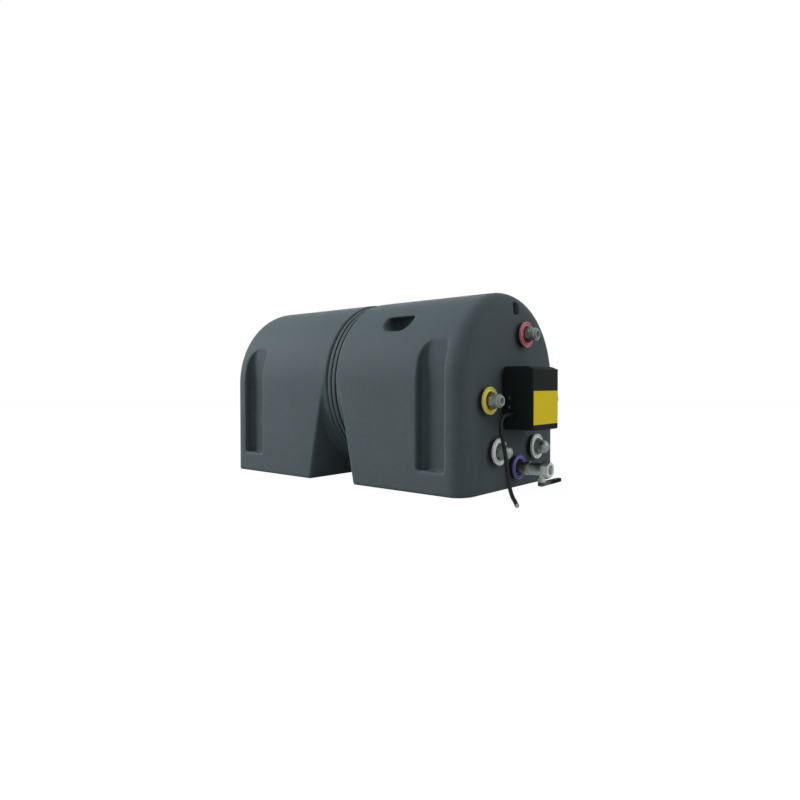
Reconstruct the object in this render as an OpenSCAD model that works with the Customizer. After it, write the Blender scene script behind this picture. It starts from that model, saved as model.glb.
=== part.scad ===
// Caravan water heater: a round stainless tank held in two moulded foam half shells,
// warmed by an immersion heater under a terminal box and by a coil for engine heat.
// X runs along the tank with the ports at +X, Z is up, the floor is at Z = 0.

/* [Casing] */
// Length over both end faces
casing_len = 620; // [580:10:700]
// Width across the straight sides
casing_w = 340; // [330:2:370]
// Edge radius round the ports end
front_edge = 32; // [16:1:36]
// Edge radius round the plain end
rear_edge = 14; // [6:1:24]
// Gap between the foam shells and the tank
shell_fit = 0.4; // [0.3:0.1:1]

/* [Waist] */
// Place of the seam between the shells along X
waist_x = -5; // [-12:1:8]
// Half the gap between the feet at the floor
foot_gap = 61; // [45:1:75]
// Half the gap between the feet at the arch's centre
waist_top = 21; // [18:1:26]
// How far the round waist lies inside the straight sides
waist_inset = 1.5; // [1:0.5:4]
// Width of the joint band
band_w = 19; // [16:1:26]
// Thickness of the joint band
band_t = 4.2; // [3:0.2:5]
// Gap at each side of the band
band_gap = 4; // [2:0.5:6]
// Depth of the band's seat below the straight sides
band_seat = 7; // [6:0.5:8]
// Width of the groove round the band's middle
band_groove_w = 4.4; // [3:0.2:8]
// Depth of that groove
band_groove_d = 2.4; // [1:0.2:2.6]
// Thickness of the tongue that keys the shells together
tongue_t = 4; // [3:0.5:4.5]
// Length of that tongue
tongue_len = 9; // [6:1:12]

/* [Side pockets] */
// Width of a pocket along X
pocket_w = 58; // [54:2:70]
// Depth of a pocket
pocket_d = 19.5; // [14:0.5:20]
// Height of the ledge
ledge_z = 41; // [30:1:60]
// Height of a pocket's top above the arch's centre
pocket_up = 84; // [60:2:96]
// Radius of a pocket's wide top corner
pocket_corner = 46; // [30:1:48]
// Radius of its other top corner
pocket_small = 10; // [4:1:12]
// Pocket's distance from the ports end
front_pocket_in = 40; // [36:1:46]
// Pocket's distance from the plain end
rear_pocket_in = 30; // [24:1:46]
// Fixing holes' distance from either end face
fixing_in = 64; // [60:1:70]
// Diameter of a fixing hole
fixing_d = 8.5; // [6:0.5:9]

/* [Grips] */
// Width of a grip
grip_w = 66; // [50:2:90]
// Height of a grip
grip_h = 28; // [22:1:32]
// Height of a grip's lower edge above the arch's centre
grip_up = 98; // [92:1:106]
// Grip's distance from the seam to its middle
grip_from_seam = 137; // [101:4:169]
// Distance of the grip's back wall from the straight side
grip_in = 82; // [70:1:86]
// Radius of the grip's lower corners
grip_corner = 20; // [5:1:20]

/* [Tank] */
// Foam between the tank and the straight sides
foam_side = 32; // [30:1:38]
// Height of the tank's lowest line above the floor
tank_up = 40; // [38:1:46]
// Wall of the tank
tank_wall = 1.5; // [1:0.1:2.5]
// Tank axis below the arch's centre
tank_drop = 16; // [12:1:18]
// Depth of a dished end
dish_depth = 60; // [50:1:70]
// Knuckle radius of a dished end
knuckle_r = 40; // [30:1:44]
// Foam left in front of a dished end
end_foam = 35; // [32:1:45]

/* [Ports] */
// Radius of a 1/2 inch pipe thread
thread_r = 10.48; // [8.3:0.01:13.2]
// Bore radius of the pipes
pipe_bore = 7.6; // [5:0.1:8]
// Ring radius
ring_r = 24; // [21:0.5:27]
// Ring radius at the cold inlet
cold_ring_r = 22; // [21:0.5:24]
// Thickness of a ring's flange
ring_flange = 4; // [3.5:0.5:6]
// Thickness of the rubber washer under the flange
washer_t = 8.5; // [3:0.5:9]
// Width of a ring's face
ring_face = 8; // [6:0.5:8]
// Depth of the groove between a ring's two rims
ring_groove = 2; // [1:0.5:2]
// Dimples round that groove
ring_dimples = 12; // [6:1:18]
// Length of the sleeve behind a ring
sleeve_len = 14; // [8:1:20]
// Wall of that sleeve
sleeve_t = 2; // [1.5:0.1:2.5]
// Engine ports inward from the tank's side
engine_in = 36; // [34:1:42]
// Engine ports' angle above level
engine_angle = -7.9; // [-11.9:0.5:-3.9]
// Spare ports inward from the tank's side
spare_in = 12.4; // [11.4:0.2:18]
// Spare ports' angle above level
spare_angle = -56.7; // [-59.7:0.5:-54.7]
// Hot outlet inward from the tank's side
hot_in = 27.5; // [27:0.5:38]
// Hot outlet's angle above level
hot_angle = 76.5; // [76:0.5:90]
// Cold inlet below the tank's lowest line
cold_under = 1; // [-6:0.5:3]
// Bend radius of the cold inlet pipe
cold_bend = 22; // [18:1:26]
// Width across flats of the fittings' hexagons
fitting_af = 25; // [24:0.5:28]
// A hexagon starts this far in front of the end face
fitting_in = 13; // [12:0.5:18]
// Length of a push-fit's hexagon
fitting_hex = 8; // [6:0.5:12]
// Length of a push-fit's round body
fitting_body = 10; // [8:0.5:16]
// Length of the collet that shows
collet_len = 3.5; // [2.5:0.5:5]
// Radius of the plastic pipe that the push-fits take
tube_r = 6; // [4:0.5:6]
// Length of a spare port's nipple inside its cap
cap_in = 11; // [8:0.5:14]

/* [Engine coil] */
// Outside radius of the coil's tube
coil_tube_r = 8; // [6:0.5:9]
// Turns of each strand
coil_turns = 3; // [2:0.5:4]
// Front end of the turns, from the tank's front seam
coil_front_in = 30; // [20:5:60]
// Rear end of the turns, from the tank's rear seam
coil_rear_in = 130; // [110:5:180]

/* [Heater] */
// Heater below the tank axis
heater_drop = 12; // [8:1:14]
// Radius of the heater's thread
heater_thread_r = 20.9; // [20:0.1:24]
// Wall of the boss
boss_wall = 4.2; // [3:0.1:6]
// Radius of an element leg
leg_r = 4; // [3:0.1:4.2]
// Element legs from the middle plane
leg_y = 11; // [10:0.5:12]
// Element legs below the plug's axis
leg_drop = 5; // [3:0.5:6]
// Length of the element inside the boss
element_len = 230; // [150:5:260]
// Outside radius of the sensor pocket
sensor_r = 4.5; // [3.6:0.1:5]
// Sensor pocket above the plug's axis
sensor_up = 8; // [7:0.5:9]
// Length of the sensor pocket
sensor_len = 150; // [100:5:180]

/* [Terminal box] */
// Width of the box
box_w = 98; // [90:1:110]
// Height of the box
box_h = 114; // [108:1:124]
// Depth of the box
box_d = 64; // [58:1:80]
// Bottom of the box below the tank axis
box_drop = 67; // [64:1:70]
// Wall of the box
box_wall = 2.5; // [2:0.1:3]
// Depth of the base
base_d = 10; // [9:0.5:14]
// Depth of the base's narrow foot
foot_d = 6; // [4:0.5:6]
// How far the foot is set in from the box's sides
foot_in = 9; // [4:0.5:9]
// Thickness of the base's back
base_back = 3; // [2:0.2:4]
// Rim of the base inside the cover
rim_len = 12; // [10:1:18]
// Corner radius of the box
box_corner = 7; // [4:0.5:10]
// Radius of the cover's upright front edges
cover_edge = 3; // [2.8:0.1:6]
// Slant at the cover's top front edge: along X and down
box_slant = [12, 6];
// Gap between parts that slip into each other
slip = 0.3; // [0.2:0.05:0.5]
// Thickness of the cover gasket
gasket_t = 1.5; // [1:0.1:2.5]
// Height of the front plate
plate_h = 60; // [50:1:70]
// Thickness of the front plate
plate_t = 0.8; // [0.6:0.1:1.2]
// Margin beside and below the front plate
plate_margin = [3.2, 10];
// Height of the upper side screw above the box's bottom
screw_up = 57; // [50:1:80]
// Spacing of the two side screws
screw_pitch = 16; // [10:1:24]
// Head radius of a side screw
screw_head_r = 3; // [2.4:0.1:4]

/* [Thermostat] */
// Size of the thermostat's body along X, Y and Z
thermostat_size = [26, 38, 44];
// Radius of the dial
dial_r = 10; // [7:0.5:12]
// Height of the dial above the body
dial_h = 8; // [5:0.5:10]
// Radius of the reset button
button_r = 4; // [3:0.1:5]
// Travel of the reset button
button_travel = 2.5; // [1.5:0.1:4]

/* [Cold valve] */
// Radius of the valve's round body
valve_r = 11.5; // [11.5:0.1:13]
// Length of the valve
valve_len = 48; // [46:1:54]
// Width across flats of the valve's end
valve_af = 26; // [25:0.5:29]
// Length of the collar at the valve's inlet
valve_collar = 8; // [6:0.5:10]
// Length of that hexagon
valve_hex = 14; // [10:1:16]
// Radius of the ball
ball_r = 8; // [7:0.1:8.2]
// Ball's middle from the valve's outer end
ball_in = 18; // [17.5:0.5:20]
// Radius of the water way through the ball
way_r = 5; // [4:0.1:5.5]
// Radius of the stem
stem_r = 3; // [2.5:0.1:3.5]
// Length of the threaded mouth
mouth_len = 8; // [6:0.5:9]
// Length of the lever from the stem's axis
lever_len = 74; // [40:1:90]
// Width of the lever
lever_w = 11; // [9:0.5:14]
// Thickness of the lever
lever_t = 6.4; // [4:0.2:8]
// Lever's lower face above the floor
lever_z = 9; // [6:0.5:11]

/* [Cable] */
// Radius of the cable
cable_r = 3.5; // [3:0.1:4]
// Radius of the strain relief at the box
relief_r = 4.6; // [4.4:0.1:5]
// Length of the strain relief outside the box
relief_len = 27; // [20:1:32]
// Strain relief above the box's bottom
relief_up = 29; // [24:1:34]
// Length of the bare cores
core_len = 10; // [6:1:15]

/* [Hidden] */
$fn = 96;

// Colours
foam_grey = [0.30, 0.34, 0.36];
band_grey = [0.24, 0.27, 0.29];
steel = [0.72, 0.73, 0.74];
nickel = [0.62, 0.64, 0.62];
brass = [0.72, 0.58, 0.30];
copper = [0.72, 0.45, 0.30];
box_black = [0.07, 0.08, 0.08];
rubber_black = [0.05, 0.05, 0.05];
ring_yellow = [0.80, 0.72, 0.12];
ring_white = [0.85, 0.87, 0.87];
ring_red = [0.66, 0.24, 0.28];
ring_blue = [0.30, 0.28, 0.58];
cream = [0.90, 0.88, 0.80];

// Small shared sizes
far = 400;
past = 1;
clear = 20;
weld_fit = 0.15;
tube_fit = 0.1;
hole_fit = 1.2;

// Casing and tank: the tank's size follows the casing, the arch's height follows the tank
half_w = casing_w / 2;
tank_r = half_w - foam_side;
tank_z = tank_up + tank_r;
arch_z = tank_z + tank_drop;
front_x = casing_len / 2;
rear_x = -front_x;
waist_r = half_w - waist_inset;
seat_r = half_w - band_seat;
recess_half = band_w / 2 + band_gap;
front_pocket_x = front_x - front_pocket_in - pocket_w;
rear_pocket_x = rear_x + rear_pocket_in;
fixing_x = front_x - fixing_in;
fixing_y = half_w - pocket_d / 2;
tongue_in = 2;
recess_size = [18, 20, 22];
recess_y = -3;
recess_down = 42;
recess_z = arch_z + half_w - recess_down;
pocket_top = arch_z + pocket_up;
grip_z = arch_z + grip_up;
grip_back = half_w - grip_in;

// Tank
barrel_x = front_x - end_foam - dish_depth;
knuckle_at = tank_r - knuckle_r;
crown_r = (knuckle_at^2 + dish_depth^2 - knuckle_r^2) / (2 * (dish_depth - knuckle_r));
crown_back = crown_r - dish_depth;
crown_edge = knuckle_at * crown_r / (crown_r - knuckle_r);

// Place along X of the front end's outside at a distance rho from the tank axis
function crown_rise(rho) = sqrt(crown_r^2 - rho^2) - crown_back;
function knuckle_rise(rho) = sqrt(knuckle_r^2 - (rho - knuckle_at)^2);
function end_x(rho) = barrel_x + (rho < crown_edge ? crown_rise(rho) : knuckle_rise(rho));

// Ports: [y, z] of each axis, and how deep the pipes reach into the tank
coil_r = tank_r - engine_in;
engine_y = coil_r * cos(engine_angle);
engine_z = tank_z + coil_r * sin(engine_angle);
spare_y = (tank_r - spare_in) * cos(spare_angle);
spare_z = tank_z + (tank_r - spare_in) * sin(spare_angle);
hot_y = (tank_r - hot_in) * cos(hot_angle);
hot_z = tank_z + (tank_r - hot_in) * sin(hot_angle);
cold_z = tank_up - cold_under;
ring_t = washer_t + ring_flange;
washer_in = 2.2;
ring_bore = ring_r - ring_face;
cold_ring_bore = cold_ring_r - ring_face + sleeve_t;
port_hole_r = ring_bore + sleeve_t + slip;
cold_hole_r = cold_ring_bore + sleeve_t + slip;
pipe_inside = 12;
coil_wall = 1.2;
tube_bore = tube_r + tube_fit;
tube_step = 1;
tube_way = tube_r - tube_step;
body_in = 0.3;
body_r = fitting_af / 2 - body_in;
collet_wall = 2.9;
collet_r = tube_bore + collet_wall;
rim_r = 1.2;
dimple_r = 1.1;
dimple_d = 1.2;
cap_hex = 6;
cap_inset = 0.2;
cap_r = fitting_af / 2 - cap_inset;
fitting_x = front_x + fitting_in;
body_x = fitting_x + fitting_hex;
collet_x = body_x + fitting_body;
mouth_x = collet_x + collet_len;
pipe_end_x = fitting_x + fitting_hex / 2;
stop_t = 2;
tube_stop_x = pipe_end_x + stop_t;
nipple_end_x = fitting_x + cap_in;
cold_set_in = 2;
cold_up_x = end_x(crown_edge) - cold_set_in;
cold_dish_z = tank_z - crown_edge;
valve_out = 26;
valve_x = front_x + valve_out;
socket_len = 10;

// Heater and its screw plug
heater_z = tank_z - heater_drop;
boss_r = heater_thread_r + boss_wall;
boss_in = 13;
boss_x = front_x - boss_in;
heater_gasket_t = 2;
flange_x = boss_x + heater_gasket_t;
flange_end = front_x - slip;
flange_af = 2 * boss_r;
collar_r = 17;
collar_out = 11;
collar_x = front_x + collar_out;
leg_z = heater_z - leg_drop;
sensor_z = heater_z + sensor_up;
sensor_out = 2;
sensor_end = collar_x + sensor_out;
sensor_wall = 0.9;
sensor_tip = 2;
rod_r = sensor_r - sensor_wall - weld_fit - slip;
rod_in = 8;
nut_t = 6;
nut_rim = 5;
nut_af = 2 * (collar_r + nut_rim);
pin_r = 2.2;
pin_len = 9;

// Terminal box
box_z = tank_z - box_drop;
box_front = front_x + box_d;
cover_x = front_x + base_d + gasket_t;
screw_x = cover_x + rim_len / 2 - gasket_t / 2;
screw_z = [box_z + screw_up, box_z + screw_up - screw_pitch];
screw_r = 1.5;
screw_len = 7;
screw_hole = 12;
screw_head_t = 1.6;
rim_inset = box_wall + slip;
gasket_in = 0.4;
block_size = [15, 30, 14];
block_at = [12, 12];
pole_hole = [2.6, 9];
pole_slot = [1.6, 3];

// Thermostat
thermostat_x = sensor_end + slip;
thermostat_front = thermostat_x + thermostat_size[0];
thermostat_drop = 7;
thermostat_z = sensor_z - thermostat_drop;
dial_share = 0.68;
button_share = 0.25;
dial_z = thermostat_z + thermostat_size[2] * dial_share;
button_z = thermostat_z + thermostat_size[2] * button_share;
knob_share = 0.7;
skirt_share = 0.5;
button_well = 8;
button_step = 1;
spindle_r = 2.5;
spindle_len = 5;
pointer_w = 2;
dial_slot = [1.5, 1.6];

// Valve
valve_end = valve_x + valve_len;
ball_x = valve_end - ball_in;
chamber_r = ball_r + slip;
seat_t = 3.4;
mouth_r = 8.55;
seal_gap = 0.3;
lever_top = lever_z + lever_t;
gland_af = 14;
gland_gap = 0.5;
gland_z = cold_z - valve_af / 2 / cos(30) - slip;
gland_boss_wall = 3.5;
gland_boss_r = stem_r + gland_boss_wall;
collar_lip = 1.2;
ball_slot = [3.4, 2.4];
stem_tongue = [3, 2.1];
seat_out = 0.7;
hub_r = lever_w / 2 + past;
lever_tip_r = lever_w / 2 - past;
lever_floor = 2;
lever_rib = [1.6, 1.5];
lever_screw_r = 1.2;
lever_screw_len = 6;
lever_head = [3, 2];

// Strain relief and cable: points chosen by hand from the relief to the bare end, each with its
// distance along X and out from the relief, and its share of the drop to the floor
relief_out = 30;
relief_x = front_x + relief_out;
relief_y = box_wall - box_w / 2;
relief_z = box_z + relief_up;
relief_flange = [6, 2];
cable_y = relief_y - relief_len;
cable_low = cable_r + slip;
cable_lay = [[0, 0, 1], [0, 3, 1], [0, 11.8, 0.99], [0.6, 19.8, 0.961], [1.6, 26, 0.914],
    [3.2, 30.2, 0.853], [6, 32.6, 0.772], [9.4, 33.6, 0.684], [12.6, 34, 0.589], [15.2, 34.2, 0.486],
    [17, 34.4, 0.391], [19, 35, 0.295], [21.8, 36.6, 0.207], [26, 39.6, 0.13], [31.4, 44, 0.069],
    [37.6, 49.8, 0.026], [44.6, 57.4, 0.004], [52, 67, 0], [59.6, 78, 0], [67.4, 89.4, 0], [73.4, 98, 0]];
cable_route = [for (p = cable_lay)
    [relief_x + p[0], cable_y - p[1], cable_low + p[2] * (relief_z - cable_low)]];
cable_sides = 10;
core_r = 1.1;
core_share = 0.5;
relief_lip = 0.6;
rib_w = 1.6;
rib_pitch = 3.6;
rib_start = 5;

// Turns local z to X, local x to Y and local y to Z
module along_x() {
    rotate([90, 0, 90]) children();
}

module rod_x(x0, x1, r) {
    translate([x0, 0, 0]) rotate([0, 90, 0]) cylinder(h = x1 - x0, r = r);
}

module hex_x(x0, x1, flats) {
    translate([x0, 0, 0]) rotate([0, 90, 0]) cylinder(h = x1 - x0, d = flats / cos(30), $fn = 6);
}

module both_sides() {
    children();
    mirror([0, 1, 0]) children();
}

// Half outline of a bar with two rounded ends: radius across, length up
module bar_outline(r, low, high, low_edge, high_edge) {
    difference() {
        translate([0, low]) square([r, high - low]);
        difference() {
            translate([r - high_edge, high - high_edge]) square(high_edge + past);
            translate([r - high_edge, high - high_edge]) circle(high_edge);
        }
        difference() {
            translate([r - low_edge, low - past]) square([low_edge + past, low_edge + past]);
            translate([r - low_edge, low + low_edge]) circle(low_edge);
        }
    }
}

module casing_outline() {
    bar_outline(half_w, rear_x, front_x, rear_edge, front_edge);
}

module casing_form() {
    translate([0, 0, arch_z]) along_x() rotate_extrude(angle = 180) casing_outline();
    linear_extrude(arch_z) both_sides() mirror([1, -1]) casing_outline();
}

// The gap between the feet, which leaves the casing a round barrel at the waist
module waist_cut() {
    difference() {
        translate([0, half_w + past, 0]) rotate([90, 0, 0]) linear_extrude(casing_w + 2 * past)
            polygon([[waist_x - foot_gap, -past], [waist_x + foot_gap, -past],
                [waist_x + waist_top, arch_z], [waist_x - waist_top, arch_z]]);
        translate([0, 0, arch_z]) rod_x(-far, far, waist_r);
    }
    translate([0, 0, arch_z]) difference() {
        rod_x(waist_x - recess_half, waist_x + recess_half, half_w + clear);
        rod_x(-far, far, seat_r);
    }
}

// What a round corner leaves over at the top left of an outline
module corner_waste(r) {
    difference() {
        translate([-past, -r]) square([r + past, r + past]);
        translate([r, -r]) circle(r);
    }
}

// A pocket at the near side, with its ledge, rounded top corners and fixing hole
module pocket_cut(x, hole_x) {
    translate([x, pocket_d - half_w, 0]) rotate([90, 0, 0]) linear_extrude(pocket_d + clear) difference() {
        translate([0, ledge_z]) square([pocket_w, pocket_top - ledge_z]);
        translate([0, pocket_top]) corner_waste(pocket_corner);
        translate([pocket_w, pocket_top]) mirror([1, 0]) corner_waste(pocket_small);
    }
    translate([hole_x, -fixing_y, -past]) cylinder(h = ledge_z + 2 * past, d = fixing_d);
}

// A finger grip at the near side of the front shell
module grip_cut() {
    translate([waist_x + grip_from_seam - grip_w / 2, -grip_back, grip_z])
        rotate([90, 0, 0]) linear_extrude(half_w) difference() {
            square([grip_w, grip_h]);
            mirror([0, 1]) corner_waste(grip_corner);
            translate([grip_w, 0]) mirror([1, 0]) mirror([0, 1]) corner_waste(grip_corner);
        }
}

// Outside of a dished end, from its seam up: a crown arc that runs into a knuckle arc
module dish_outline(grow) {
    intersection() {
        square([tank_r + grow + past, dish_depth + grow + past]);
        union() {
            translate([knuckle_at, 0]) circle(knuckle_r + grow);
            intersection() {
                translate([0, -crown_back]) circle(crown_r + grow);
                polygon([[0, -crown_back], [0, 2 * crown_r], [3 * knuckle_at, 2 * crown_back]]);
            }
        }
    }
}

module dish(grow) {
    translate([barrel_x, 0, tank_z]) along_x() rotate_extrude() dish_outline(grow);
}

module tank_space() {
    translate([0, 0, tank_z]) along_x() rotate_extrude() {
        translate([0, -barrel_x]) square([tank_r + shell_fit, 2 * barrel_x]);
        translate([0, barrel_x]) dish_outline(shell_fit);
        translate([0, -barrel_x]) mirror([0, 1]) dish_outline(shell_fit);
    }
}

// The ring that keys the two shells at the seam, round the tank
module tongue(fit) {
    translate([0, 0, tank_z]) difference() {
        rod_x(waist_x - tongue_len - fit, waist_x, tank_r + tongue_in + tongue_t + fit);
        rod_x(waist_x - far, waist_x + far, tank_r + tongue_in - fit);
    }
}

module port_space(y, z, r) {
    translate([0, y, z]) rod_x(barrel_x, front_x + past, r);
}

// Moulded recess in the end face, over the hot outlet
module end_recess() {
    translate([front_x - recess_size[0], recess_y, recess_z]) cube(recess_size + [past, 0, 0]);
}

module front_shell() {
    color(foam_grey) difference() {
        union() {
            intersection() {
                casing_form();
                translate([waist_x, -far, -past]) cube([far, 2 * far, far + far]);
            }
            tongue(0);
        }
        waist_cut();
        tank_space();
        both_sides() pocket_cut(front_pocket_x, fixing_x);
        grip_cut();
        end_recess();
        both_sides() port_space(engine_y, engine_z, port_hole_r);
        both_sides() port_space(spare_y, spare_z, port_hole_r);
        port_space(hot_y, hot_z, port_hole_r);
        port_space(0, cold_z, cold_hole_r);
        translate([cold_up_x, 0, cold_z]) cylinder(h = cold_dish_z - cold_z + clear, r = thread_r + hole_fit);
        translate([0, 0, heater_z]) rod_x(barrel_x, front_x + past, flange_af / 2 / cos(30) + hole_fit);
    }
}

module rear_shell() {
    color(foam_grey) difference() {
        intersection() {
            casing_form();
            translate([waist_x - far, -far, -past]) cube([far, 2 * far, far + far]);
        }
        waist_cut();
        tank_space();
        tongue(shell_fit);
        both_sides() pocket_cut(rear_pocket_x, -fixing_x);
        translate([2 * waist_x, 0, 0]) rotate([0, 0, 180]) grip_cut();
    }
}

module joint_band() {
    band_in = seat_r + slip;
    band_out = band_in + band_t;
    color(band_grey) translate([waist_x, 0, arch_z]) along_x() rotate_extrude() difference() {
        translate([band_in, -band_w / 2]) square([band_t, band_w]);
        translate([band_out - band_groove_d, -band_groove_w / 2]) square([band_t, band_groove_w]);
    }
}

module tank_barrel() {
    color(steel) translate([0, 0, tank_z]) difference() {
        rod_x(-barrel_x, barrel_x, tank_r);
        rod_x(-far, far, tank_r - tank_wall);
    }
}

module end_shell() {
    difference() {
        dish(0);
        dish(-tank_wall);
    }
}

module tank_front_end() {
    color(steel) difference() {
        end_shell();
        both_sides() port_space(engine_y, engine_z, coil_tube_r + weld_fit);
        both_sides() port_space(spare_y, spare_z, thread_r + weld_fit);
        port_space(hot_y, hot_z, thread_r + weld_fit);
        translate([cold_up_x, 0, cold_z]) cylinder(h = tank_r, r = thread_r + weld_fit);
        translate([0, 0, heater_z]) rod_x(barrel_x, front_x, boss_r + weld_fit);
    }
}

module tank_rear_end() {
    color(steel) mirror([1, 0, 0]) end_shell();
}

// Straight pipe from inside the front end to the fitting
module port_pipe(y, z, r, bore, end) {
    start = end_x(norm([y, z - tank_z])) - pipe_inside;
    translate([0, y, z]) difference() {
        rod_x(start, end, r);
        rod_x(start - past, end + past, bore);
    }
}

coil_front = barrel_x - coil_front_in;
coil_rear = coil_rear_in - barrel_x;
coil_tail_x = end_x(coil_r) - pipe_inside;

module engine_pipe(side) {
    color(copper) port_pipe(side * engine_y, engine_z, coil_tube_r, coil_tube_r - coil_wall, pipe_end_x);
}

module engine_pipe_near() {
    engine_pipe(-1);
}

module engine_pipe_far() {
    engine_pipe(1);
}

// Sweep of a round tube along points, with the section carried from ring to ring
function unit(v) = v / norm(v);
function tangents(p) = [for (i = [0 : len(p) - 1])
    unit(p[min(i + 1, len(p) - 1)] - p[max(i - 1, 0)])];
function carried(n, t) = unit(n - (n * t) * t);
function normals(t, start) = [for (i = 0, n = carried(start, t[0]); i < len(t);
    i = i + 1, n = carried(n, t[min(i, len(t) - 1)])) n];
function tube_points(p, r, sides, start) =
    let (t = tangents(p), n = normals(t, start))
    [for (i = [0 : len(p) - 1], k = [0 : sides - 1])
        p[i] + r * (cos(360 * k / sides) * n[i] + sin(360 * k / sides) * cross(t[i], n[i]))];
function tube_faces(rings, sides) = concat(
    [for (k = [1 : sides - 2]) [0, k, k + 1]],
    [for (i = [0 : rings - 2], k = [0 : sides - 1]) [i * sides + k, (i + 1) * sides + k,
        i * sides + (k + 1) % sides]],
    [for (i = [0 : rings - 2], k = [0 : sides - 1]) [(i + 1) * sides + k,
        (i + 1) * sides + (k + 1) % sides, i * sides + (k + 1) % sides]],
    [for (k = [1 : sides - 2]) (rings - 1) * sides * [1, 1, 1] + [0, k + 1, k]]);

module tube(p, r, sides, start) {
    polyhedron(tube_points(p, r, sides, start), tube_faces(len(p), sides));
}

// Coil: two strands wound side by side, joined by a bend across the rear
rings_a_turn = 24;
coil_sides = 6;
lead_turn = 0.12;
lead_pull = 80;
rear_pull = 260;
lead_steps = 8;
bend_steps = 16;
gap_skip = 12;
coil_steps = rings_a_turn * coil_turns;
coil_pitch = (coil_front - coil_rear) / coil_turns;
function strand_angle(side, turn) = (side > 0 ? engine_angle : 180 - engine_angle) + 360 * turn;
function strand_point(side, turn) = [coil_front - coil_pitch * (turn - lead_turn),
    coil_r * cos(strand_angle(side, turn)), tank_z + coil_r * sin(strand_angle(side, turn))];
function strand_run(side, turn) = unit([-coil_pitch,
    -2 * PI * coil_r * sin(strand_angle(side, turn)), 2 * PI * coil_r * cos(strand_angle(side, turn))]);
function bend(a, run_a, b, run_b, pull, u) =
    (2 * u^3 - 3 * u^2 + 1) * a + (u^3 - 2 * u^2 + u) * pull * run_a
    + (3 * u^2 - 2 * u^3) * b + (u^3 - u^2) * pull * run_b;
function tail_point(side) = [coil_tail_x, side * engine_y, engine_z];
function lead_point(side) = tail_point(side) - [2 * coil_tube_r, 0, 0];
function lead_in(side) = concat([tail_point(side)], [for (i = [0 : lead_steps - 1])
    bend(lead_point(side), [-1, 0, 0],
        strand_point(side, lead_turn), strand_run(side, lead_turn), lead_pull, i / lead_steps)]);
function strand(side) = [for (i = [0 : coil_steps]) strand_point(side, lead_turn + i / rings_a_turn)];
function back(p) = [for (i = [len(p) - 1 : -1 : 0]) p[i]];
coil_end = lead_turn + coil_turns;
rear_bend = [for (i = [1 : bend_steps - 1])
    bend(strand_point(1, coil_end), strand_run(1, coil_end),
        strand_point(-1, coil_end), -strand_run(-1, coil_end), rear_pull, i / bend_steps)];
coil_line = concat(lead_in(1), strand(1), rear_bend, back(strand(-1)), back(lead_in(-1)));
coil_gap = min([for (i = [0 : len(coil_line) - 1], j = [i + gap_skip : 1 : len(coil_line) - 1])
    norm(coil_line[i] - coil_line[j])]) - 2 * coil_tube_r;

module exchanger_coil() {
    echo(coil_least_gap = coil_gap);
    color(copper) tube(coil_line, coil_tube_r, coil_sides, [0, 0, 1]);
}

// Push-fit for plastic pipe over the end of a port pipe: hexagon, round body and collet
module port_fitting(y, z, pipe_r) {
    color(nickel) translate([0, y, z]) difference() {
        union() {
            hex_x(fitting_x, body_x, fitting_af);
            rod_x(body_x - past, collet_x, body_r);
            rod_x(collet_x - past, mouth_x, collet_r);
        }
        rod_x(fitting_x - past, pipe_end_x + weld_fit, pipe_r + weld_fit);
        rod_x(fitting_x, mouth_x, tube_way);
        rod_x(tube_stop_x, mouth_x + past, tube_bore);
    }
}

module engine_fitting_near() {
    port_fitting(-engine_y, engine_z, coil_tube_r);
}

module engine_fitting_far() {
    port_fitting(engine_y, engine_z, coil_tube_r);
}

module hot_outlet_pipe() {
    color(steel) port_pipe(hot_y, hot_z, thread_r, pipe_bore, pipe_end_x);
}

module hot_fitting() {
    port_fitting(hot_y, hot_z, thread_r);
}

// Cold inlet: straight in along X, then a bend up into the front end
module cold_line(r, end) {
    rod_x(cold_up_x + cold_bend, end, r);
    translate([cold_up_x + cold_bend, 0, cold_bend]) rotate([90, 0, 0]) rotate([0, 0, 180])
        rotate_extrude(angle = 90) translate([cold_bend, 0]) circle(r);
    translate([cold_up_x, 0, cold_bend]) cylinder(h = cold_dish_z - cold_z - cold_bend + pipe_inside, r = r);
}

module cold_inlet_pipe() {
    color(brass) translate([0, 0, cold_z]) difference() {
        cold_line(thread_r, valve_x + socket_len);
        cold_line(pipe_bore, valve_x + socket_len + past);
        translate([cold_up_x, 0, cold_bend]) cylinder(h = tank_r, r = pipe_bore);
    }
}

module spare_nipple(side) {
    color(steel) port_pipe(side * spare_y, spare_z, thread_r, pipe_bore, nipple_end_x);
}

module spare_nipple_near() {
    spare_nipple(-1);
}

module spare_nipple_far() {
    spare_nipple(1);
}

// Domed blanking cap over a spare nipple
module spare_cap(side) {
    dome_x = nipple_end_x - past;
    color(nickel) translate([0, side * spare_y, spare_z]) difference() {
        union() {
            hex_x(fitting_x, fitting_x + cap_hex, fitting_af);
            rod_x(fitting_x + cap_hex - past, dome_x, cap_r);
            translate([dome_x, 0, 0]) along_x() rotate_extrude() intersection() {
                circle(cap_r);
                square(cap_r + past);
            }
        }
        rod_x(fitting_x - past, nipple_end_x + slip, thread_r + weld_fit);
    }
}

module spare_cap_near() {
    spare_cap(-1);
}

module spare_cap_far() {
    spare_cap(1);
}

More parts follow.
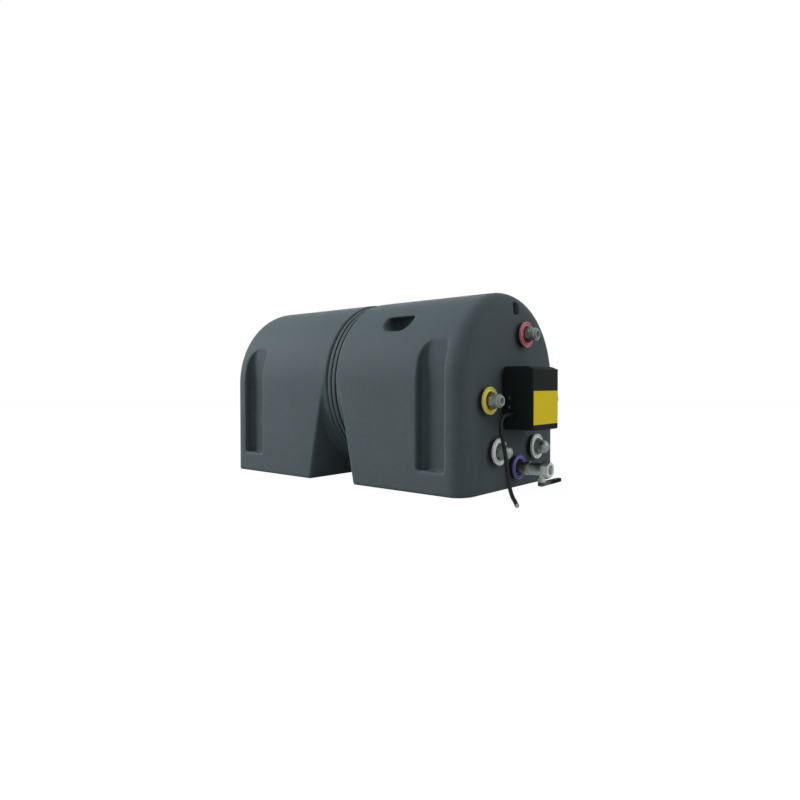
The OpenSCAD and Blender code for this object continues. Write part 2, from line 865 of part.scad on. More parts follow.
// Coloured ring with two rims, a dimpled groove between them and a sleeve into the foam
module port_ring(y, z, outer, bore) {
    groove_x = ring_t - ring_groove;
    translate([front_x, y, z]) along_x() difference() {
        rotate_extrude() {
            translate([bore, -sleeve_len]) square([sleeve_t, sleeve_len + ring_t - ring_groove]);
            translate([bore, washer_t]) square([outer - bore, ring_flange - ring_groove]);
            for (at = [bore, outer - 2 * rim_r]) {
                translate([at, washer_t]) square([2 * rim_r, ring_flange - rim_r]);
                translate([at + rim_r, ring_t - rim_r]) circle(rim_r);
            }
        }
        for (i = [1 : ring_dimples]) rotate(i * 360 / ring_dimples)
            translate([(outer + bore) / 2, 0, groove_x - dimple_d]) cylinder(h = ring_t, r = dimple_r);
    }
}

module engine_ring_near() {
    color(ring_yellow) port_ring(-engine_y, engine_z, ring_r, ring_bore);
}

module engine_ring_far() {
    color(ring_yellow) port_ring(engine_y, engine_z, ring_r, ring_bore);
}

module spare_ring_near() {
    color(ring_white) port_ring(-spare_y, spare_z, ring_r, ring_bore);
}

module spare_ring_far() {
    color(ring_white) port_ring(spare_y, spare_z, ring_r, ring_bore);
}

module hot_ring() {
    color(ring_red) port_ring(hot_y, hot_z, ring_r, ring_bore);
}

module cold_ring() {
    color(ring_blue) port_ring(0, cold_z, cold_ring_r, cold_ring_bore);
}

module port_washer(y, z, outer, bore) {
    translate([front_x, y, z]) along_x() difference() {
        cylinder(h = washer_t, r = outer - washer_in);
        translate([0, 0, -past]) cylinder(h = ring_t, r = bore + sleeve_t + weld_fit);
    }
}

// Rubber washers that hold the rings off the foam
module ring_washers() {
    color(rubber_black) {
        both_sides() port_washer(engine_y, engine_z, ring_r, ring_bore);
        both_sides() port_washer(spare_y, spare_z, ring_r, ring_bore);
        port_washer(hot_y, hot_z, ring_r, ring_bore);
        port_washer(0, cold_z, cold_ring_r, cold_ring_bore);
    }
}

// Boss welded into the front end for the heater's plug
module heater_boss() {
    color(steel) translate([0, 0, heater_z]) difference() {
        rod_x(end_x(boss_r) - pipe_inside, boss_x, boss_r);
        rod_x(barrel_x, front_x, heater_thread_r);
    }
}

module heater_gasket() {
    color(rubber_black) translate([0, 0, heater_z]) difference() {
        rod_x(boss_x, flange_x, boss_r);
        rod_x(boss_x - past, flange_x + past, heater_thread_r + slip);
    }
}

module at_legs() {
    both_sides() translate([0, leg_y, leg_z]) children();
}

module heater_plug() {
    color(brass) difference() {
        translate([0, 0, heater_z]) {
            rod_x(end_x(boss_r) - pipe_inside, flange_x + past, heater_thread_r - slip);
            hex_x(flange_x, flange_end, flange_af);
            rod_x(flange_end - past, collar_x, collar_r);
        }
        at_legs() rod_x(0, far, leg_r + weld_fit);
        translate([0, 0, sensor_z]) rod_x(0, far, sensor_r + weld_fit);
    }
}

// Hairpin element: two legs, a round bend and two terminal pins
module heating_element() {
    bend_x = boss_x - element_len;
    color(nickel) {
        at_legs() {
            rod_x(bend_x, collar_x, leg_r);
            rod_x(collar_x, collar_x + pin_len, pin_r);
        }
        translate([bend_x, 0, leg_z]) rotate([0, 0, 90]) rotate_extrude(angle = 180)
            translate([leg_y, 0]) circle(leg_r);
    }
}

module heater_lock_nut() {
    nut_x = front_x + base_back;
    color(brass) translate([0, 0, heater_z]) difference() {
        hex_x(nut_x, nut_x + nut_t, nut_af);
        rod_x(nut_x - past, nut_x + nut_t + past, collar_r + weld_fit);
    }
}

module sensor_pocket() {
    start = boss_x - sensor_len;
    color(steel) translate([0, 0, sensor_z]) difference() {
        rod_x(start, sensor_end, sensor_r);
        rod_x(start + sensor_tip, sensor_end + past, sensor_r - sensor_wall);
    }
}

module thermostat_body() {
    color(cream) difference() {
        union() {
            translate([thermostat_x, -thermostat_size[1] / 2, thermostat_z]) cube(thermostat_size);
            translate([0, 0, sensor_z]) rod_x(boss_x - sensor_len + rod_in, thermostat_x + past, rod_r);
            translate([thermostat_front, 0, dial_z]) rod_x(-past, spindle_len, spindle_r);
        }
        translate([0, 0, button_z])
            rod_x(thermostat_front - button_well, thermostat_front + past, button_r + slip);
    }
}

// Dial on the thermostat's spindle, with a pointer ridge and a driver slot
module thermostat_dial() {
    low = thermostat_front + slip;
    color(box_black) translate([0, 0, dial_z]) difference() {
        union() {
            rod_x(low, low + dial_h * skirt_share, dial_r);
            rod_x(low, low + dial_h, dial_r * knob_share);
            translate([low, -pointer_w / 2, 0]) cube([dial_h * knob_share, pointer_w, dial_r]);
        }
        rod_x(low - past, thermostat_front + spindle_len + slip, spindle_r + slip);
        translate([low + dial_h - dial_slot[0], -dial_slot[1] / 2, -far]) cube([far, dial_slot[1], 2 * far]);
    }
}

module reset_button() {
    low = thermostat_front - button_well + button_travel + slip;
    top = thermostat_front + button_travel + button_step;
    color(ring_red) translate([0, 0, button_z]) {
        rod_x(low, top, button_r);
        rod_x(top - past, top + button_step, button_r - button_step);
    }
}

// Three-pole terminal block on the base
module terminal_block() {
    pole = block_size[1] / 3;
    color(cream) translate([front_x + base_back, block_at[0] - box_w / 2, box_z + block_at[1]]) difference() {
        cube(block_size);
        for (i = [0 : 2]) translate([block_size[0] - pole_hole[1], pole * (i + 0.5), block_size[2] / 2])
            rod_x(0, far, pole_hole[0]);
        for (i = [1 : 2]) translate([block_size[0] - pole_slot[1], pole * i - pole_slot[0] / 2, -past])
            cube([far, pole_slot[0], far]);
    }
}

// Rounded outline of the box across Y and Z, drawn in by an inset
module box_outline(inset) {
    r = max(box_corner - inset, 1);
    w = box_w - 2 * inset;
    h = box_h - 2 * inset;
    translate([0, box_h / 2]) {
        square([w - 2 * r, h], center = true);
        square([w, h - 2 * r], center = true);
        for (sx = [-1, 1], sy = [-1, 1]) translate([sx * (w / 2 - r), sy * (h / 2 - r)]) circle(r);
    }
}

module box_prism(x0, x1, inset) {
    translate([x0, 0, box_z]) along_x() linear_extrude(x1 - x0) box_outline(inset);
}

// Holes for the four side screws
module at_screws() {
    both_sides() for (z = screw_z) translate([screw_x, -box_w / 2, z]) rotate([-90, 0, 0]) children();
}

module box_base() {
    color(box_black) difference() {
        union() {
            box_prism(front_x, front_x + base_d, foot_in);
            box_prism(front_x + foot_d, front_x + base_d, 0);
            box_prism(front_x + foot_d, cover_x + rim_len, rim_inset);
        }
        box_prism(front_x + base_back, far, foot_in + box_wall);
        box_prism(front_x + foot_d + base_back, far, rim_inset + box_wall);
        translate([0, 0, heater_z]) rod_x(front_x - past, far, collar_r + slip);
        at_screws() translate([0, 0, -past]) cylinder(h = screw_hole, r = screw_r + weld_fit);
    }
}

module cover_gasket() {
    color(rubber_black) difference() {
        box_prism(front_x + base_d, cover_x, gasket_in);
        box_prism(front_x, far, rim_inset - weld_fit);
    }
}

// Plan of the cover across X and Y, with rounded front edges, drawn in by an inset
module cover_plan(inset) {
    r = cover_edge - inset;
    half = box_w / 2 - inset;
    front = box_front - inset;
    translate([front_x, -half]) square([front - r - front_x, 2 * half]);
    translate([front_x, r - half]) square([front - front_x, 2 * (half - r)]);
    for (side = [-1, 1]) translate([front - r, side * (half - r)]) circle(r);
}

module cover_form(x0, inset) {
    intersection() {
        box_prism(x0, box_front, inset);
        translate([0, 0, box_z]) linear_extrude(box_h) cover_plan(inset);
    }
}

// Notch in the cover's back edge for the strain relief
module relief_notch() {
    r = relief_r + slip;
    translate([relief_x, -box_w / 2 - past, relief_z]) {
        rotate([-90, 0, 0]) cylinder(h = box_wall + 2 * past, r = r);
        translate([-relief_x, 0, -r]) cube([relief_x, box_wall + 2 * past, 2 * r]);
    }
}

// Cover with a slanted top front edge and a shallow seat for the front plate
module box_cover() {
    color(box_black) difference() {
        cover_form(cover_x, 0);
        difference() {
            cover_form(cover_x - past, box_wall);
            cover_slant(2 * box_wall);
        }
        cover_slant(0);
        plate_space(0);
        relief_notch();
        at_screws() translate([0, 0, -past]) cylinder(h = screw_hole, r = screw_r + weld_fit);
    }
}

module cover_slant(inset) {
    top = box_z + box_h - inset;
    front = box_front - inset;
    translate([0, half_w, 0]) rotate([90, 0, 0]) linear_extrude(casing_w)
        polygon([[front - box_slant[0], top], [front + past, top - box_slant[1]],
            [front + past, top + clear], [front - box_slant[0], top + clear]]);
}

module plate_space(inset) {
    w = box_w - 2 * plate_margin[0] - 2 * inset;
    translate([box_front - plate_t / 2, -w / 2, box_z + plate_margin[1] + inset])
        cube([plate_t, w, plate_h - 2 * inset]);
}

module front_plate() {
    color(ring_yellow) plate_space(weld_fit);
}

module cover_screws() {
    color(steel) at_screws() {
        translate([0, 0, -screw_head_t]) cylinder(h = screw_head_t, r = screw_head_r);
        cylinder(h = screw_len, r = screw_r);
    }
}

// Tapered strain relief in the cover's near wall: flange inside, ribs outside that let it bend
module strain_relief() {
    color(rubber_black) translate([relief_x, relief_y, relief_z]) rotate([90, 0, 0]) difference() {
        union() {
            cylinder(h = relief_len, r1 = relief_r, r2 = cable_r + relief_lip);
            translate([0, 0, -relief_flange[1]]) cylinder(h = relief_flange[1], r = relief_flange[0]);
        }
        for (z = [rib_start : rib_pitch : relief_len - rib_w]) translate([0, 0, z]) difference() {
            cylinder(h = rib_w, r = relief_r + past);
            translate([0, 0, -past]) cylinder(h = rib_w + 2 * past, r = cable_r);
        }
    }
}

module power_cable() {
    color(rubber_black) tube(cable_route, cable_r, cable_sides, [1, 0, 0]);
}

// Three bare cores at the cable's end
module cable_cores() {
    last = cable_route[len(cable_route) - 1];
    run = last - cable_route[len(cable_route) - 2];
    heading = atan2(run[1], run[0]);
    color(cream) translate(last) rotate([0, 0, heading]) for (i = [0 : 2])
        rotate([120 * i + 90, 0, 0]) translate([0, cable_r * core_share, 0]) rod_x(0, core_len, core_r);
}

module valve_body() {
    color(nickel) translate([0, 0, cold_z]) difference() {
        union() {
            rod_x(valve_x, valve_end - valve_hex + past, valve_r);
            rod_x(valve_x, valve_x + valve_collar, valve_r + collar_lip);
            hex_x(valve_end - valve_hex, valve_end, valve_af);
            translate([ball_x, 0, gland_z - cold_z]) cylinder(h = cold_z - gland_z, r = gland_boss_r);
        }
        rod_x(valve_x - past, valve_x + socket_len + slip, thread_r + weld_fit);
        rod_x(valve_x, valve_end, way_r);
        rod_x(ball_x - ball_r - seat_out - slip, valve_end - mouth_len, chamber_r);
        rod_x(valve_end - mouth_len, valve_end + past, mouth_r);
        translate([ball_x, 0, gland_z - cold_z - past]) cylinder(h = cold_z - gland_z, r = stem_r + slip);
    }
}

// Ball with its water way, turned crosswise when shut, and a slot for the stem
module valve_ball() {
    color(steel) translate([ball_x, 0, cold_z]) difference() {
        sphere(ball_r);
        rotate([90, 0, 0]) cylinder(h = 2 * ball_r + 2, r = way_r, center = true);
        translate([-ball_slot[0] / 2, -ball_r, -ball_r - past])
            cube([ball_slot[0], 2 * ball_r, ball_slot[1] + past]);
    }
}

module ball_seats() {
    seat_x = ball_r + seat_out - seat_t;
    color(ring_white) translate([ball_x, 0, cold_z]) for (side = [0, 1]) mirror([side, 0, 0])
        along_x() rotate_extrude() difference() {
            translate([way_r, seat_x]) square([chamber_r - weld_fit - way_r, seat_t]);
            circle(ball_r + seal_gap);
        }
}

module valve_stem() {
    low = lever_z + lever_floor - cold_z;
    high = -ball_r - 2 * weld_fit;
    color(nickel) translate([ball_x, 0, cold_z]) difference() {
        union() {
            translate([0, 0, low]) cylinder(h = high - low, r = stem_r);
            intersection() {
                translate([-stem_tongue[0] / 2, -stem_r, high - past])
                    cube([stem_tongue[0], 2 * stem_r, stem_tongue[1] - ball_r - high + past]);
                cylinder(h = far, r = stem_r, center = true);
            }
        }
        translate([0, 0, -cold_z])
            cylinder(h = lever_z + lever_screw_len + slip, r = lever_screw_r + weld_fit);
    }
}

module gland_nut() {
    color(nickel) translate([ball_x, 0, lever_top + gland_gap]) difference() {
        cylinder(h = gland_z - lever_top - gland_gap, d = gland_af / cos(30), $fn = 6);
        translate([0, 0, -past]) cylinder(h = clear, r = stem_r + slip);
    }
}

// Lever across the valve when shut: round hub, tapered arm, stiffening rib
module valve_lever() {
    tip_y = lever_len - lever_tip_r;
    color(rubber_black) translate([ball_x, 0, lever_z]) difference() {
        union() {
            cylinder(h = lever_t, r = hub_r);
            translate([0, tip_y, 0]) cylinder(h = lever_t, r = lever_tip_r);
            linear_extrude(lever_t) polygon([[-lever_w / 2, 0], [lever_w / 2, 0],
                [lever_tip_r, tip_y], [-lever_tip_r, tip_y]]);
        }
        translate([0, 0, lever_floor]) cylinder(h = lever_t, r = stem_r + weld_fit);
        translate([0, 0, -past]) cylinder(h = lever_t, r = lever_screw_r + weld_fit);
        translate([lever_rib[0] - lever_tip_r, hub_r + lever_rib[0], -past])
            cube([2 * (lever_tip_r - lever_rib[0]), tip_y - hub_r - 2 * lever_rib[0], lever_rib[1] + past]);
    }
}

module lever_screw() {
    color(steel) translate([ball_x, 0, lever_z]) {
        translate([0, 0, -lever_head[1]]) cylinder(h = lever_head[1], r = lever_head[0]);
        cylinder(h = lever_screw_len, r = lever_screw_r);
    }
}

front_shell();
rear_shell();
joint_band();
tank_barrel();
tank_front_end();
tank_rear_end();
exchanger_coil();
engine_pipe_near();
engine_pipe_far();
engine_fitting_near();
engine_fitting_far();
hot_outlet_pipe();
hot_fitting();
cold_inlet_pipe();
spare_nipple_near();
spare_nipple_far();
spare_cap_near();
spare_cap_far();
engine_ring_near();
engine_ring_far();
spare_ring_near();
spare_ring_far();
hot_ring();
cold_ring();
ring_washers();
heater_boss();
heater_gasket();
heater_plug();
heating_element();
heater_lock_nut();
sensor_pocket();
thermostat_body();
thermostat_dial();
reset_button();
terminal_block();
box_base();
cover_gasket();
box_cover();
cover_screws();
front_plate();
strain_relief();
power_cable();
cable_cores();
valve_body();
valve_ball();
ball_seats();
valve_stem();
gland_nut();
valve_lever();
lever_screw();
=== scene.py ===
# %% [markdown]
# # A caravan water heater
# The heater is a round steel tank in two foam half shells, with its pipes and wiring on one end.
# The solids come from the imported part, so this lesson never models a size twice: it loads them,
# gives every surface a finish, and rebuilds only the pieces whose look a solid can't carry.

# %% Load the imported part
import math

import bmesh
import bpy
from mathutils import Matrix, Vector


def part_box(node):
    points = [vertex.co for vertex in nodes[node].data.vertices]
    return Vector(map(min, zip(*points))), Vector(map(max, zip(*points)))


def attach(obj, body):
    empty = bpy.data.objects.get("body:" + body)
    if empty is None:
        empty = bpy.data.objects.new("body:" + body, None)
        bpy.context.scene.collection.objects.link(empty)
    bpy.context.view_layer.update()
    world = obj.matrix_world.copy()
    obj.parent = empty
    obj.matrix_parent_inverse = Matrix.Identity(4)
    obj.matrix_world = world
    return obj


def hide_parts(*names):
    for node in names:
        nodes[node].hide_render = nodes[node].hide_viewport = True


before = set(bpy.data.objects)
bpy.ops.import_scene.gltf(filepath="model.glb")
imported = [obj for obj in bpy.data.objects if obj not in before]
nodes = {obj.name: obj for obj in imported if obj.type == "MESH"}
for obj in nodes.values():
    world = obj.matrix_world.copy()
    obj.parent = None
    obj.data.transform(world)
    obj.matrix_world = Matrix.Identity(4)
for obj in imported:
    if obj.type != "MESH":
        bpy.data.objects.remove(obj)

MM = 0.001
UP = Vector((0, 0, 1))
scene = bpy.context.scene
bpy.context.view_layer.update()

# %% [markdown]
# ## The camera
# The picture was taken from a little above the tank's middle height, forty degrees round from the
# near side. A camera could be placed by eye, but measured corners of the casing give the place and
# the lens directly, so the outline in the render lies on the outline in the picture.

# %% Camera
SENSOR, LENS = 36.0, 28.512
EYE = (0.9055, -1.03797, 0.19089)
LOOK_DOWN, LOOK_ROUND = 1.337, 40.089


def placed(name, data):
    """A new object in the scene."""
    piece = bpy.data.objects.new(name, data)
    scene.collection.objects.link(piece)
    return piece


optics = bpy.data.cameras.new("camera")
optics.sensor_width, optics.lens = SENSOR, LENS
optics.clip_start, optics.clip_end = 0.01, 50.0
camera = placed("camera", optics)
camera.location = EYE
camera.rotation_euler = (math.radians(90 - LOOK_DOWN), 0.0, math.radians(LOOK_ROUND))
scene.camera = camera
print("camera", LENS, "mm at", EYE)

# %% [markdown]
# ## The power cable
# A round black mains lead leaves the box sideways, bends down past the near spare port and lies on
# the floor to a bare end. A curve with a round bevel is the natural way to make it: the points are
# the centreline, so the length can be measured and the thickness is one number.

# %% Cable
CABLE_R = 0.0035
FLOOR_GAP = 0.0003
CABLE_EXIT = Vector((0.340, -0.0735, 0.140))
# each point: along X and out from the exit in millimetres, and its share of the drop to the floor
cable_lay = [
    (0, 0, 1), (0, 3, 1), (0, 11.8, 0.99), (0.6, 19.8, 0.961), (1.6, 26, 0.914), (3.2, 30.2, 0.853),
    (6, 32.6, 0.772), (9.4, 33.6, 0.684), (12.6, 34, 0.589), (15.2, 34.2, 0.486), (17, 34.4, 0.391),
    (19, 35, 0.295), (21.8, 36.6, 0.207), (26, 39.6, 0.13), (31.4, 44, 0.069), (37.6, 49.8, 0.026),
    (44.6, 57.4, 0.004), (52, 67, 0), (59.6, 78, 0), (67.4, 89.4, 0), (73.4, 98, 0)]
cable_low = CABLE_R + FLOOR_GAP
cable_route = [(CABLE_EXIT.x + along * MM, CABLE_EXIT.y - out * MM,
                cable_low + share * (CABLE_EXIT.z - cable_low)) for along, out, share in cable_lay]


def smooth_curve(name, points, radius):
    """A round lead through the points, as one Bezier spline whose knots carry the radius."""
    data = bpy.data.curves.new(name, "CURVE")
    data.dimensions = "3D"
    data.bevel_depth = 1.0
    data.bevel_resolution = 5
    data.resolution_u = 10
    data.use_fill_caps = True
    spline = data.splines.new("BEZIER")
    spline.bezier_points.add(len(points) - 1)
    for knot, place in zip(spline.bezier_points, points):
        knot.co, knot.radius = place, radius
        knot.handle_left_type = knot.handle_right_type = "AUTO"
    return placed(name, data)


cable = smooth_curve("cable_lead", cable_route, CABLE_R)
bpy.context.view_layer.update()
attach(cable, "heater")
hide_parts("power_cable")

# %% [markdown]
# The end of the lead is stripped: three cores stick out of the sheath and each ends in a little bare
# copper. Three short curves with three more for the copper are enough, laid round the sheath's axis.

# %% Bare cores
CORE_R, COPPER_R, CORE_LEN = 0.0011, 0.0007, 0.0099
CORE_OFF_AXIS = 0.00175
CORE_HELD, COPPER_HELD = 0.002, 0.001
COVERED = 0.6

cable_end = Vector(cable_route[-1])
ahead = (cable_end - Vector(cable_route[-2])).normalized()
beside = ahead.cross(UP).normalized()
cores = []
for i in range(3):
    turn = math.radians(120 * i + 90)
    root = cable_end + CORE_OFF_AXIS * (math.cos(turn) * beside + math.sin(turn) * UP)
    start, bare, cut, tip = (root + ahead * reach for reach in (
        -CORE_HELD, COVERED * CORE_LEN - COPPER_HELD, COVERED * CORE_LEN, CORE_LEN))
    cores.append(smooth_curve(f"core_{i}", [start, (start + cut) / 2, cut], CORE_R))
    cores.append(smooth_curve(f"core_wire_{i}", [bare, (cut + tip) / 2, tip], COPPER_R))
for core in cores:
    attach(core, "heater")
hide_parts("cable_cores")
print("cores", len(cores))

# %% [markdown]
# ## Writing shaders as sums
# A finish is a small formula: noise times a strength plus a base. Wiring such a formula by hand takes
# many lines, so one class wraps an output socket and lets Python's operators add the Math nodes.


# %% Sockets as numbers
class Wire:
    """An output socket that can be added, subtracted and multiplied."""

    def __init__(self, tree, node, out=0):
        self.tree, self.node, self.socket = tree, node, node.outputs[out]

    def also(self, out):
        """Another output of the same node."""
        return Wire(self.tree, self.node, out)

    def maths(self, operation, first, second, clamp=False):
        node = self.tree.nodes.new("ShaderNodeMath")
        node.operation, node.use_clamp = operation, clamp
        for slot, value in zip(node.inputs, (first, second)):
            plug(self.tree, slot, value)
        return Wire(self.tree, node)

    def __add__(self, other):
        return self.maths("ADD", self, other)

    def __sub__(self, other):
        return self.maths("SUBTRACT", self, other)

    def __rsub__(self, other):
        return self.maths("SUBTRACT", other, self)

    def __mul__(self, other):
        return self.maths("MULTIPLY", self, other)

    __radd__ = __add__
    __rmul__ = __mul__

    def above(self, level, soft):
        """0 under the level, rising to 1 over the soft stretch above it."""
        return self.maths("DIVIDE", self - level, soft, clamp=True)


def plug(tree, slot, value):
    """Link a wire to an input socket, or set the socket's own value."""
    if isinstance(value, Wire):
        tree.links.new(value.socket, slot)
    else:
        slot.default_value = value


print("wires ready")

# %% [markdown]
# Everything that isn't arithmetic comes from one method that takes a node's type, its settings and
# the values of its sockets. A socket is found by its inner name first, because a Mix node has several
# sockets with the same title. An output node has no socket to hand on, so nothing comes back for it.


# %% A bench for nodes
class Bench:
    """A node tree with one way of adding nodes."""

    def __init__(self, tree):
        self.tree = tree

    def add(self, kind, settings=None, sockets=None, out=0):
        node = self.tree.nodes.new(kind)
        for name, value in (settings or {}).items():
            setattr(node, name, value)
        for name, value in (sockets or {}).items():
            found = [s for s in node.inputs if s.identifier == name] or [node.inputs[name]]
            plug(self.tree, found[0], value)
        return Wire(self.tree, node, out) if node.outputs else None

    def blend(self, share, low, high):
        """A colour between two colours."""
        return self.add("ShaderNodeMix", {"data_type": "RGBA"},
                        {"Factor_Float": share, "A_Color": low, "B_Color": high}, 2)


print("bench ready")

# %% [markdown]
# ## One class for every finish
# A finish is a material with one main shader. What is the same all over is set on the shader's own
# sockets, and what changes over the surface is fed into them. The patterns are laid out in the
# piece's own coordinates, in metres, so a scale of 1000 means grains of about a millimetre anywhere.


# %% A finish
def socket_title(key):
    """specular_ior_level becomes Specular IOR Level."""
    return key.replace("_", " ").title().replace("Ior", "IOR")


class Finish(Bench):
    """A material with one main shader; steady values are set on its sockets, varying ones are fed."""

    made = []

    def __init__(self, name, **steady):
        self.material = bpy.data.materials.new(name)
        self.material.use_nodes = True
        super().__init__(self.material.node_tree)
        self.shader = self.tree.nodes["Principled BSDF"]
        for key, value in steady.items():
            self.shader.inputs[socket_title(key)].default_value = value
        self.place = self.add("ShaderNodeTexCoord", out="Object")
        Finish.made.append(name)

    def feed(self, **varying):
        for key, value in varying.items():
            plug(self.tree, self.shader.inputs[socket_title(key)], value)

    def along(self, axis):
        """The place along one axis, in metres."""
        return self.add("ShaderNodeSeparateXYZ", None, {"Vector": self.place}, axis)

    def noise(self, scale, detail=3.0, rough=0.55, stretch=None):
        place = self.place
        if stretch:
            place = self.add("ShaderNodeVectorMath", {"operation": "MULTIPLY"},
                             {"Vector": place, "Vector_001": stretch})
        return self.add("ShaderNodeTexNoise", None,
                        {"Vector": place, "Scale": scale, "Detail": detail, "Roughness": rough})

    def cells(self, scale, feature="F1"):
        return self.add("ShaderNodeTexVoronoi", {"feature": feature},
                        {"Vector": self.place, "Scale": scale}, "Distance")

    def bump(self, height, strength, distance):
        normal = self.add("ShaderNodeBump", None,
                          {"Height": height, "Strength": strength, "Distance": distance})
        plug(self.tree, self.shader.inputs["Normal"], normal)


def tint(colour, by=1.0):
    """A colour made lighter or darker, with its alpha."""
    return tuple(min(1.0, channel * by) for channel in colour[:3]) + (1.0,)


print("finish class ready")

# %% [markdown]
# ## Floor and backdrop
# The heater stands on a white floor that runs into a white backdrop, almost without a shadow. Lighting
# the floor until it burns out would bleach the casing too, so the floor and the world look white only
# to rays that come from the camera or a reflection, while the lamps stay at a plain level. A small
# share of the floor still takes light, so that a faint shadow stays under the casing.

# %% Stage
FLOOR_SIZE = 14
FLOOR_GLOW = 1.04
SHADOW_SHARE = 0.07
FLOOR_TONES = (0.34, 0.34, 0.34, 1), (0.38, 0.38, 0.38, 1)
PAPER_WHITE = (0.95, 0.95, 0.95, 1)
WHITE = (1, 1, 1, 1)


def seen_directly(bench):
    """1 for rays from the camera, from a gloss or through glass."""
    path = bench.add("ShaderNodeLightPath", out="Is Camera Ray")
    mirrored = path.also("Is Glossy Ray") + path.also("Is Transmission Ray")
    return path.maths("ADD", path, mirrored, clamp=True)


bpy.ops.mesh.primitive_plane_add(size=FLOOR_SIZE)
floor = bpy.context.object
floor.name = "floor"
floor_look = bpy.data.materials.new("white_floor")
floor_look.use_nodes = True
bench = Bench(floor_look.node_tree)
bench.tree.nodes.clear()
grain = bench.add("ShaderNodeTexNoise", None, {"Scale": 90.0, "Detail": 2.0})
direct = seen_directly(bench)
bounce = bench.blend(grain, *FLOOR_TONES)
paper = bench.add("ShaderNodeBsdfDiffuse", None, {"Color": bench.blend(direct, bounce, PAPER_WHITE)})
glow = bench.add("ShaderNodeEmission", None, {"Color": WHITE, "Strength": FLOOR_GLOW})
sheet = bench.add("ShaderNodeMixShader", None,
                  {"Fac": direct * (1 - SHADOW_SHARE), "Shader": paper, "Shader_001": glow})
bench.add("ShaderNodeOutputMaterial", None, {"Surface": sheet})
floor.data.materials.append(floor_look)
print("floor", floor.dimensions[:2])

# %% [markdown]
# ## Light
# The world is a dim dome, a little brighter overhead. Four large softboxes do the rest: a strong one on
# the left gives the casing its form, a weaker one on the right lights the ports, a faint one in front
# opens the shadows in the pockets, and a low one behind keeps the far side from going black.

# %% World and lamps
HORIZON, ZENITH = (0.257, 0.262, 0.268, 1), (0.342, 0.357, 0.372, 1)

world = bpy.data.worlds.new("studio")
world.use_nodes = True
scene.world = world
bench = Bench(world.node_tree)
bench.tree.nodes.clear()
ray = bench.add("ShaderNodeTexCoord", out="Generated")
rise = bench.add("ShaderNodeSeparateXYZ", None, {"Vector": ray}, "Z")
dome = bench.blend(rise.above(0.0, 1.0), HORIZON, ZENITH)
sky = bench.add("ShaderNodeBackground", None, {"Color": dome, "Strength": 1.0})
white = bench.add("ShaderNodeBackground", None, {"Color": WHITE, "Strength": 1.0})
both = bench.add("ShaderNodeMixShader", None,
                 {"Fac": seen_directly(bench), "Shader": sky, "Shader_001": white})
bench.add("ShaderNodeOutputWorld", None, {"Surface": both})


def softbox(name, place, aim, width, watts):
    lamp = bpy.data.lights.new(name, "AREA")
    lamp.shape, lamp.size, lamp.energy = "SQUARE", width, watts
    holder = placed(name, lamp)
    holder.location = place
    holder.rotation_euler = (Vector(aim) - Vector(place)).to_track_quat("-Z", "Y").to_euler()


softbox("softbox_left", place=(-2.45, -1.7, 1.75), aim=(0.0, 0.0, 0.15), width=2.2, watts=121.0)
softbox("softbox_right", place=(2.6, 0.8, 1.5), aim=(0.3, 0.0, 0.2), width=2.0, watts=19.0)
softbox("softbox_front", place=(2.0, -2.2, 1.5), aim=(0.3, 0.0, 0.2), width=2.0, watts=5.0)
softbox("softbox_back", place=(-2.1, 2.6, 1.0), aim=(0.0, 0.0, 0.18), width=2.0, watts=42.0)
scene.view_settings.view_transform = "Standard"

# %% [markdown]
# ## Bead foam
# The casing is moulded from foam beads about four millimetres across. Close up, each bead has its own
# shade and a fine crease runs between beads; from a distance it is an even slate grey. Cell noise gives
# the beads and a slow noise the cloudiness of steam moulding. Beads, creases and a fine grain also go
# through the bump.

# %% Foam finish
SLATE = (0.085, 0.110, 0.119, 1.0)
BEADS_PER_METRE = 240.0
CREASE = 0.09

foam = Finish("bead_foam", specular_ior_level=0.05)
bead = foam.cells(BEADS_PER_METRE)
bead_tone = foam.add("ShaderNodeSeparateColor", None, {"Color": bead.also("Color")}, "Red")
crease = foam.cells(BEADS_PER_METRE, "DISTANCE_TO_EDGE").above(0.0, CREASE)
cloud = foam.noise(9.0, 4.0)
shade = bead_tone * 0.25 + cloud * 0.6 + crease * 0.15
foam.feed(base_color=foam.blend(shade, tint(SLATE, 0.82), tint(SLATE, 1.18)),
          roughness=bead_tone * 0.10 + cloud * 0.12 + 0.50)
foam.bump(crease * 0.6 + bead_tone * 0.4 + foam.noise(900.0, 2.0) * 0.25, strength=0.30, distance=0.0004)
print(Finish.made[-1])

# %% [markdown]
# ## Band rubber
# The band in the waist is rubber in nearly the casing's colour, a little darker. Wiping leaves smears
# that run round the waist, so its noise is squeezed along X and drawn out across it.

# %% Band finish
band_rubber = Finish("band_rubber", specular_ior_level=0.15)
smear = band_rubber.noise(40.0, 4.0, stretch=(4.0, 0.6, 0.6))
band_rubber.feed(base_color=band_rubber.blend(smear, tint(SLATE, 0.70), tint(SLATE, 0.92)),
                 roughness=smear * 0.2 + 0.62)
band_rubber.bump(band_rubber.noise(1400.0, 2.0), strength=0.2, distance=0.0002)
print(Finish.made[-1])
